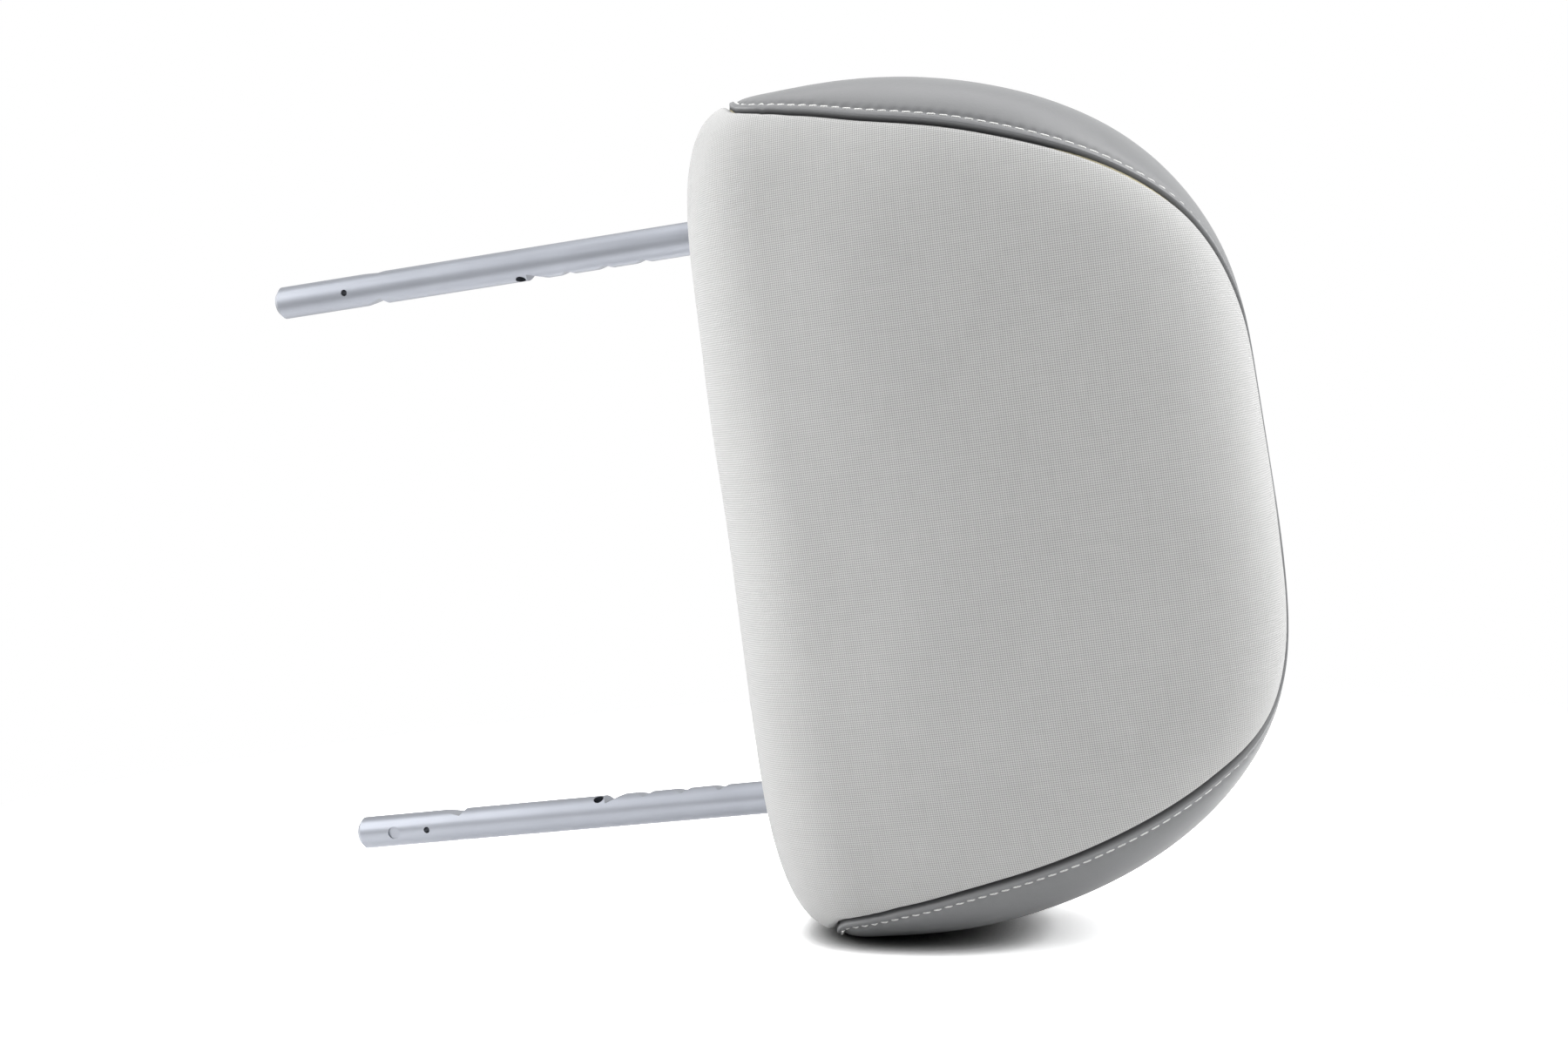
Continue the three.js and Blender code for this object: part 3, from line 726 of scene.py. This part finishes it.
def makeFoamPad():
    columns = closedColumns(1, foam["columns"])
    places = np.linspace(foam["poleGap"], 3 - foam["poleGap"], foam["rows"])
    grid = np.repeat(columns[None], len(places), 0)
    direction = coverDirection(grid, places[:, None] + 0 * grid)
    depth = pad["thickness"] + pad["foamGap"]
    rings = surfaceAt(direction) - normalAt(direction) * depth
    tips = [surfaceAt(pole[None])[0] - normalAt(pole[None])[0] * depth for pole in (frontPole, rearPole)]
    points = np.concatenate([rings.reshape(-1, 3), tips])
    count = len(columns)
    faces = ringFaces(count, len(places))
    last = len(points) - 2
    end = (len(places) - 1) * count
    for i in range(count):
        k = (i + 1) % count
        faces += [(last, k, i), (last + 1, end + i, end + k)]
    piece = newPiece("foamPad", points, faces)
    barRoom = sweptBar("barRoom", post["radius"] + foam["barSlack"], foam["barSides"], foam["barStep"])
    cutWith(piece, [makeCarrierRoom(), makeStripRoom(), barRoom])
    sharpen(piece, foam["sharpFrom"])
    return piece


foamPad = makeFoamPad()
print("foam ready")

# finishes, each with what a user would change
clothLook = {
    "thread": "#c9c9c8",
    "gap": "#808080",
    "pitch": 0.62,  # of the threads, in millimetres
    "steepness": 0.6,  # the lower, the more suddenly a thread dives under the next
    "under": 0.35,  # how much of a thread shows where it passes under another
    "slubs": ((1.1, 0.08, 1), (0.08, 1.1, 1)),  # thicker threads along each way, as noise scales
    "slubDetail": 1.0,
    "cloudScale": 0.035,
    "cloudDetail": 3.0,
    "unevenness": {1: 1.1, 2: 1.9, 3: 0.965, 4: 1.03},
    "roughness": (0.95, 0.85),  # in the gaps and on the threads
    "sheen": 0.45,
    "sheenRoughness": 0.5,
    "specular": 0.25,
    "bump": {"Strength": 0.6, "Distance": 0.00012},
    "spreadTo": (0.6, 0.8),  # shares of half a turn, along X and up the section
    "spreadPoints": 1201,
}


def unrolled(piece):
    # where each point of the fabric lies when it is spread flat: along X and up the section, in millimetres
    points = np.empty(len(piece.data.vertices) * 3)
    piece.data.vertices.foreach_get("co", points)
    points = points.reshape(-1, 3) / mm - padCentre
    flat = np.zeros_like(points)
    for k, axis in enumerate((0, 2)):
        limit = math.pi * clothLook["spreadTo"][k]
        turn = np.linspace(-limit, limit, clothLook["spreadPoints"])
        way = np.zeros((len(turn), 3))
        way[:, 1] = -np.cos(turn)
        way[:, axis] = np.sin(turn)
        section = surfaceAt(way) - padCentre
        run = np.concatenate([[0], np.cumsum(np.linalg.norm(np.diff(section, axis=0), axis=1))])
        run -= np.interp(0, turn, run)
        size = np.hypot(section[:, axis], section[:, 1])
        angle = np.arctan2(points[:, axis], -points[:, 1])
        share = np.hypot(points[:, axis], points[:, 1]) / np.interp(angle, turn, size)
        flat[:, k] = np.interp(angle, turn, run) * share
    layer = piece.data.attributes.new("spreadFlat", "FLOAT_VECTOR", "POINT")
    layer.data.foreach_set("vector", flat.ravel())


def wovenPolyester():
    # plain woven polyester, finely squared: dull, pale threads, darker gaps and a few thicker threads
    material = newMaterial("woven polyester, plain weave")
    tree = material.node_tree
    spreadFlat = addNode(tree, "ShaderNodeAttribute", attribute_name="spreadFlat").outputs["Vector"]
    split = addNode(tree, "ShaderNodeSeparateXYZ", links={0: spreadFlat})
    waves, rounds = [], []
    for axis in ("X", "Y"):
        perThread = {1: math.pi / clothLook["pitch"]}
        turn = addNode(tree, "ShaderNodeMath", perThread, {0: split.outputs[axis]}, operation="MULTIPLY")
        wave = addNode(tree, "ShaderNodeMath", links={0: turn.outputs[0]}, operation="SINE")
        size = addNode(tree, "ShaderNodeMath", links={0: wave.outputs[0]}, operation="ABSOLUTE")
        waves.append(wave.outputs[0])
        rounds.append(size.outputs[0])
    crossing = addNode(tree, "ShaderNodeMath", links={0: waves[0], 1: waves[1]}, operation="MULTIPLY")
    # where a thread of the one way is up, the thread of the other way is down
    steep, under = clothLook["steepness"], clothLook["under"]
    raised = []
    for size, (low, high) in zip(rounds, ((under, 1), (1, under))):
        span = {1: -steep, 2: steep, 3: low, 4: high}
        up = addNode(tree, "ShaderNodeMapRange", span, {0: crossing.outputs[0]})
        part = addNode(tree, "ShaderNodeMath", links={0: size, 1: up.outputs[0]}, operation="MULTIPLY")
        raised.append(part.outputs[0])
    height = addNode(tree, "ShaderNodeMath", links={0: raised[0], 1: raised[1]}, operation="MAXIMUM")
    ends = {6: toLinear(clothLook["gap"]), 7: toLinear(clothLook["thread"])}
    tone = addNode(tree, "ShaderNodeMix", ends, {0: height.outputs[0]}, data_type="RGBA")
    slubs = []
    for stretch in clothLook["slubs"]:
        long = addNode(tree, "ShaderNodeVectorMath", {1: stretch}, {0: spreadFlat}, operation="MULTIPLY")
        kind = {"Scale": 1.0, "Detail": clothLook["slubDetail"]}
        slubs.append(addNode(tree, "ShaderNodeTexNoise", kind, {"Vector": long.outputs[0]}).outputs[0])
    slub = addNode(tree, "ShaderNodeMath", links={0: slubs[0], 1: slubs[1]}, operation="ADD")
    kind = {"Scale": clothLook["cloudScale"], "Detail": clothLook["cloudDetail"]}
    cloudy = addNode(tree, "ShaderNodeTexNoise", kind, {"Vector": spreadFlat})
    uneven = addNode(
        tree, "ShaderNodeMath", links={0: slub.outputs[0], 1: cloudy.outputs[0]}, operation="ADD"
    )
    shade = addNode(tree, "ShaderNodeMapRange", clothLook["unevenness"], {0: uneven.outputs[0]})
    colour = addNode(
        tree, "ShaderNodeVectorMath", links={0: tone.outputs[2], 1: shade.outputs[0]}, operation="MULTIPLY"
    )
    bump = addNode(tree, "ShaderNodeBump", clothLook["bump"], {"Height": height.outputs[0]})
    low, high = clothLook["roughness"]
    rough = addNode(tree, "ShaderNodeMapRange", {1: 0, 2: 1, 3: low, 4: high}, {0: height.outputs[0]})
    shader = addNode(
        tree,
        "ShaderNodeBsdfPrincipled",
        {
            "IOR": 1.5,
            "Sheen Weight": clothLook["sheen"],
            "Sheen Roughness": clothLook["sheenRoughness"],
            "Specular IOR Level": clothLook["specular"],
        },
        {"Base Color": colour.outputs[0], "Normal": bump.outputs[0], "Roughness": rough.outputs[0]},
    )
    addNode(tree, "ShaderNodeOutputMaterial", links={"Surface": shader.outputs[0]})
    return material


vinylLook = {
    "colour": "#777879",
    "deep": "#68696b",
    "cloudScale": 28.0,
    "cloudDetail": 4.0,
    "grain": 0.7,  # in millimetres
    "grainDetail": 2.0,
    "roughness": {1: 0.35, 2: 0.65, 3: 0.38, 4: 0.48},
    "seamShade": 0.0025,  # how near to the seam the painted shade reaches, in metres
    "seamShadeTone": {1: 0.3, 2: 0.9, 3: 0.4, 4: 1},
    "bump": {"Strength": 0.22, "Distance": 0.0001},
}


def softVinyl():
    # calendered PVC leathercloth: smooth satin skin with a faint grain and a broad soft highlight
    material = newMaterial("soft vinyl, fine grain")
    tree = material.node_tree
    where = addNode(tree, "ShaderNodeTexCoord").outputs["Object"]
    perMetre = 1 / (vinylLook["grain"] * mm)
    cells = addNode(
        tree, "ShaderNodeTexVoronoi", {"Scale": perMetre}, {"Vector": where}, feature="SMOOTH_F1"
    )
    kind = {"Scale": perMetre * 2, "Detail": vinylLook["grainDetail"]}
    fine = addNode(tree, "ShaderNodeTexNoise", kind, {"Vector": where})
    grain = addNode(
        tree, "ShaderNodeMath", links={0: cells.outputs[0], 1: fine.outputs[0]}, operation="ADD"
    )
    kind = {"Scale": vinylLook["cloudScale"], "Detail": vinylLook["cloudDetail"]}
    cloudy = addNode(tree, "ShaderNodeTexNoise", kind, {"Vector": where})
    ends = {6: toLinear(vinylLook["deep"]), 7: toLinear(vinylLook["colour"])}
    colour = addNode(tree, "ShaderNodeMix", ends, {0: cloudy.outputs[0]}, data_type="RGBA")
    # painted shade: ambient occlusion darkens the colour in the seam beside the rolled edge, where shade
    # falls
    seam = addNode(tree, "ShaderNodeAmbientOcclusion", {"Distance": vinylLook["seamShade"]}, samples=8)
    paintedSeamShade = addNode(tree, "ShaderNodeMapRange", vinylLook["seamShadeTone"], {0: seam.outputs["AO"]})
    seamShadedColour = addNode(
        tree, "ShaderNodeVectorMath", links={0: colour.outputs[2], 1: paintedSeamShade.outputs[0]}, operation="MULTIPLY"
    )
    rough = addNode(tree, "ShaderNodeMapRange", vinylLook["roughness"], {0: cloudy.outputs[0]})
    bump = addNode(tree, "ShaderNodeBump", vinylLook["bump"], {"Height": grain.outputs[0]})
    shader = addNode(
        tree,
        "ShaderNodeBsdfPrincipled",
        {"IOR": 1.52},
        {"Base Color": seamShadedColour.outputs[0], "Normal": bump.outputs[0], "Roughness": rough.outputs[0]},
    )
    addNode(tree, "ShaderNodeOutputMaterial", links={"Surface": shader.outputs[0]})
    return material


threadLook = {
    "light": "#f1f1ef",
    "dark": "#d2d2d0",
    "twist": {"Scale": 900.0, "Distortion": 1.0},
    "bump": {"Strength": 0.4, "Distance": 0.0001},
    "surface": {"IOR": 1.5, "Roughness": 0.55, "Sheen Weight": 0.2},
}


def sewingThread():
    # bonded polyester sewing thread, twisted: bright white, slightly silky
    material = newMaterial("bonded polyester thread")
    tree = material.node_tree
    where = addNode(tree, "ShaderNodeTexCoord").outputs["Object"]
    twist = addNode(
        tree, "ShaderNodeTexWave", threadLook["twist"], {"Vector": where}, bands_direction="DIAGONAL"
    )
    ends = {6: toLinear(threadLook["dark"]), 7: toLinear(threadLook["light"])}
    colour = addNode(tree, "ShaderNodeMix", ends, {0: twist.outputs[1]}, data_type="RGBA")
    bump = addNode(tree, "ShaderNodeBump", threadLook["bump"], {"Height": twist.outputs[1]})
    shader = addNode(
        tree,
        "ShaderNodeBsdfPrincipled",
        threadLook["surface"],
        {"Base Color": colour.outputs[2], "Normal": bump.outputs[0]},
    )
    addNode(tree, "ShaderNodeOutputMaterial", links={"Surface": shader.outputs[0]})
    return material


metalLook = {
    "drawnDetail": 3.0,
    "clouds": {"Scale": 60.0, "Detail": 3.0},
    "bump": {"Strength": 0.05, "Distance": 0.00005},
    "unevenFrom": 0.3,
    "unevenTo": 0.7,
}


def metal(name, light, dark, roughness, streak):
    # streak is the noise scale along X, Y and Z per metre: low along the way the metal was drawn
    material = newMaterial(name)
    tree = material.node_tree
    where = addNode(tree, "ShaderNodeTexCoord").outputs["Object"]
    stretched = addNode(tree, "ShaderNodeVectorMath", {1: streak}, {0: where}, operation="MULTIPLY")
    kind = {"Scale": 1.0, "Detail": metalLook["drawnDetail"]}
    drawn = addNode(tree, "ShaderNodeTexNoise", kind, {"Vector": stretched.outputs[0]})
    cloudy = addNode(tree, "ShaderNodeTexNoise", metalLook["clouds"], {"Vector": where})
    ends = {6: toLinear(dark), 7: toLinear(light)}
    colour = addNode(tree, "ShaderNodeMix", ends, {0: cloudy.outputs[0]}, data_type="RGBA")
    span = {1: metalLook["unevenFrom"], 2: metalLook["unevenTo"], 3: roughness[0], 4: roughness[1]}
    rough = addNode(tree, "ShaderNodeMapRange", span, {0: drawn.outputs[0]})
    bump = addNode(tree, "ShaderNodeBump", metalLook["bump"], {"Height": drawn.outputs[0]})
    shader = addNode(
        tree,
        "ShaderNodeBsdfPrincipled",
        {"Metallic": 1.0},
        {"Base Color": colour.outputs[2], "Roughness": rough.outputs[0], "Normal": bump.outputs[0]},
    )
    addNode(tree, "ShaderNodeOutputMaterial", links={"Surface": shader.outputs[0]})
    return material


mouldedLook = {
    "textureDetail": 3.0,
    "clouds": {"Scale": 40.0, "Detail": 2.0},
    "bump": 0.4,
    "unevenFrom": 0.3,
    "unevenTo": 0.7,
}


def moulded(name, colour, deep, roughness, grain, depth, ior):
    # moulded polymer: colour mottles slowly, and the tool's texture breaks up the shine
    material = newMaterial(name)
    tree = material.node_tree
    where = addNode(tree, "ShaderNodeTexCoord").outputs["Object"]
    kind = {"Scale": 1 / (grain * mm), "Detail": mouldedLook["textureDetail"]}
    texture = addNode(tree, "ShaderNodeTexNoise", kind, {"Vector": where})
    cloudy = addNode(tree, "ShaderNodeTexNoise", mouldedLook["clouds"], {"Vector": where})
    ends = {6: toLinear(deep), 7: toLinear(colour)}
    tone = addNode(tree, "ShaderNodeMix", ends, {0: cloudy.outputs[0]}, data_type="RGBA")
    span = {1: mouldedLook["unevenFrom"], 2: mouldedLook["unevenTo"], 3: roughness[0], 4: roughness[1]}
    rough = addNode(tree, "ShaderNodeMapRange", span, {0: texture.outputs[0]})
    relief = {"Strength": mouldedLook["bump"], "Distance": depth * mm}
    bump = addNode(tree, "ShaderNodeBump", relief, {"Height": texture.outputs[0]})
    shader = addNode(
        tree,
        "ShaderNodeBsdfPrincipled",
        {"IOR": ior},
        {"Base Color": tone.outputs[2], "Roughness": rough.outputs[0], "Normal": bump.outputs[0]},
    )
    addNode(tree, "ShaderNodeOutputMaterial", links={"Surface": shader.outputs[0]})
    return material


unrolled(frontCover)
cloth = wovenPolyester()
vinyl = softVinyl()
thread = sewingThread()
# drawn steel bar with a satin nickel-chrome finish: pale, faintly blue, one soft bright line along each post
satinSteel = metal("satin chromed steel", "#979aa1", "#8a8d94", (0.36, 0.45), (900, 900, 25))
# zinc plated screws: duller and slightly yellow
zincSteel = metal("zinc plated steel", "#b9b8b2", "#a3a29d", (0.35, 0.5), (300, 300, 300))
# glass filled nylon: near black, matt, faintly sparkling from the fibres
nylon = moulded("glass filled nylon, black", "#26272a", "#1c1d1f", (0.55, 0.7), 0.4, 0.03, 1.53)
# extruded polypropylene strips: dark grey, waxy
polypropylene = moulded("extruded polypropylene", "#4c4f53", "#414346", (0.4, 0.5), 1.2, 0.02, 1.49)
# cold moulded polyurethane foam: cream, open pored and quite dull
openFoam = moulded("moulded polyurethane foam", "#e6dfc2", "#cdc39c", (0.92, 1.0), 0.8, 0.4, 1.45)

dressing = [
    (frontCover, cloth, "front_panel", "grey_weave"),
    (sideCover, vinyl, "side_panel", "slate_vinyl"),
    (rearCover, vinyl, "rear_panel", "slate_vinyl"),
    (topStitching, thread, None, "grey_weave"),
    (postFrame, satinSteel, "rod_frame", "satin_steel"),
    (foamPad, openFoam, "foam_core", "pale_foam"),
]
for piece, material, node, slot in dressing:
    piece.data.materials.clear()
    piece.data.materials.append(material)
    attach(piece, "root")
    if node:
        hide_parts(node)
for name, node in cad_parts.items():
    finish = None
    if name.startswith("carrier_screw"):
        finish = zincSteel
    elif name.startswith("carrier"):
        finish = nylon
    elif name.startswith("closure"):
        finish = polypropylene
    if finish:
        for place in node.material_slots:
            place.material = finish
print("materials ready")

# table, lamps and background
studio = {
    "lean": 3,  # degrees between straight up in the photo and straight up from the table
    "reach": 3.0,  # half the table's width, in metres
    "table": 0.86,
    "tableMirrored": 1.5,  # as the posts and the vinyl mirror it
    "tableSeen": 2.15,  # as the camera sees it: only deep shade stays below white
    "contact": 0.009,  # how far the painted contact shadow under the pad reaches, in metres
    # how dark the painted contact shadow gets
    "contactDepth": 1.2,
    "fade": (0.2, 0.42),  # where the table turns from lit laminate to plain white, from its middle
    "sky": 0.2,
    "sink": 0.0004,  # how far the pad's own weight presses it into the table
    "boxes": {
        "overhead": {"at": (0.1, 0.95, -0.05), "size": 1.1, "power": 8.0},
        "left": {"at": (-1.0, 0.35, -0.05), "size": 1.0, "power": 14.0},
        "right": {"at": (0.95, 0.45, -0.05), "size": 1.0, "power": 5.5},
        "rightFront": {"at": (0.75, 0.7, 0.3), "size": 1.0, "power": 7.5},
    },
}
tilt = math.atan2(imageRight.x, imageRight.z) - math.radians(studio["lean"])
tableUp = Vector((-math.cos(tilt), 0, math.sin(tilt)))
tableRight = imageRight - imageRight.dot(tableUp) * tableUp
tableRight.normalize()
tableBack = tableRight.cross(tableUp)
lowest = min((Vector(v.co).dot(tableUp) for v in sideCover.data.vertices))
middle = Vector(padCentre * mm)
spot = middle + tableUp * (lowest + studio["sink"] - middle.dot(tableUp))
size = studio["reach"]
corners = [spot + size * (a * tableRight + b * tableBack) for a, b in ((-1, -1), (1, -1), (1, 1), (-1, 1))]
tableMesh = bpy.data.meshes.new("table")
tableMesh.from_pydata(corners, [], [(0, 3, 2, 1)])
table = bpy.data.objects.new("table", tableMesh)
bpy.context.scene.collection.objects.link(table)
if table.data.polygons[0].normal.dot(tableUp) < 0:
    table.data.flip_normals()


def rayKinds(tree):
    # the camera's own rays, mirrored ones, and both together
    path = addNode(tree, "ShaderNodeLightPath")
    direct = path.outputs["Is Camera Ray"]
    ends = {0: path.outputs["Is Glossy Ray"], 1: path.outputs["Is Transmission Ray"]}
    mirrored = addNode(tree, "ShaderNodeMath", links=ends, operation="MAXIMUM").outputs[0]
    both = addNode(tree, "ShaderNodeMath", links={0: direct, 1: mirrored}, operation="MAXIMUM")
    return direct, mirrored, both.outputs[0]


def whiteSurface():
    # white laminate, exposed as in the photo: seen or mirrored it is brighter than it lights things
    material = newMaterial("white laminate")
    tree = material.node_tree
    direct, mirrored, seen = rayKinds(tree)
    shape = addNode(tree, "ShaderNodeNewGeometry")
    span = {1: 0, 2: 1, 3: studio["table"], 4: studio["tableMirrored"]}
    tone = addNode(tree, "ShaderNodeMapRange", span, {0: mirrored})
    span = {1: 0, 2: 1, 4: studio["tableSeen"]}
    tone = addNode(tree, "ShaderNodeMapRange", span, {0: direct, 3: tone.outputs[0]})
    # painted shadow: ambient occlusion darkens the table's colour in a narrow line where the pad and the
    # posts touch it
    paintedContactShadow = addNode(tree, "ShaderNodeAmbientOcclusion", {"Distance": studio["contact"]}, samples=8)
    depth = {1: studio["contactDepth"]}
    deep = addNode(tree, "ShaderNodeMath", depth, {0: paintedContactShadow.outputs["AO"]}, operation="POWER")
    shaded = addNode(
        tree, "ShaderNodeMath", links={0: tone.outputs[0], 1: deep.outputs[0]}, operation="MULTIPLY"
    )
    matt = addNode(tree, "ShaderNodeBsdfDiffuse", links={"Color": shaded.outputs[0]})
    # further out it is plain white, so that no edge of the table shows
    position = {0: shape.outputs["Position"]}
    fromMiddle = addNode(tree, "ShaderNodeVectorMath", {1: spot}, position, operation="DISTANCE")
    span = {1: studio["fade"][0], 2: studio["fade"][1], 3: 0, 4: 1}
    away = {0: fromMiddle.outputs["Value"]}
    out = addNode(tree, "ShaderNodeMapRange", span, away, interpolation_type="SMOOTHSTEP")
    plain = addNode(tree, "ShaderNodeMath", links={0: out.outputs[0], 1: seen}, operation="MULTIPLY")
    white = addNode(tree, "ShaderNodeEmission", {"Strength": 1.0})
    ends = {0: plain.outputs[0], 1: matt.outputs[0], 2: white.outputs[0]}
    faded = addNode(tree, "ShaderNodeMixShader", links=ends)
    # from underneath the table is clear, so that the object can be seen from there
    clear = addNode(tree, "ShaderNodeBsdfTransparent")
    ends = {0: shape.outputs["Backfacing"], 1: faded.outputs[0], 2: clear.outputs[0]}
    sided = addNode(tree, "ShaderNodeMixShader", links=ends)
    addNode(tree, "ShaderNodeOutputMaterial", links={"Surface": sided.outputs[0]})
    return material


table.data.materials.append(whiteSurface())

# the sky lights softly, and is white where the camera or a mirror looks at it
world = bpy.data.worlds.new("studio")
world.use_nodes = True
world.node_tree.nodes.clear()
tree = world.node_tree
_, _, seen = rayKinds(tree)
strength = addNode(tree, "ShaderNodeMapRange", {1: 0, 2: 1, 3: studio["sky"], 4: 1}, {0: seen})
sky = addNode(tree, "ShaderNodeBackground", {"Color": (1, 1, 1, 1)}, {"Strength": strength.outputs[0]})
addNode(tree, "ShaderNodeOutputWorld", links={"Surface": sky.outputs[0]})
bpy.context.scene.world = world

for name, box in studio["boxes"].items():
    light = bpy.data.lights.new(name, "AREA")
    light.size = box["size"]
    light.energy = box["power"]
    lamp = bpy.data.objects.new(name, light)
    across, above, towards = box["at"]
    place = middle + across * tableRight + above * tableUp + towards * tableBack
    lamp.location = place
    lamp.rotation_mode = "QUATERNION"
    lamp.rotation_quaternion = (middle - place).to_track_quat("-Z", "Y")
    bpy.context.scene.collection.objects.link(lamp)

bpy.context.scene.view_settings.view_transform = "Standard"
print("studio ready")
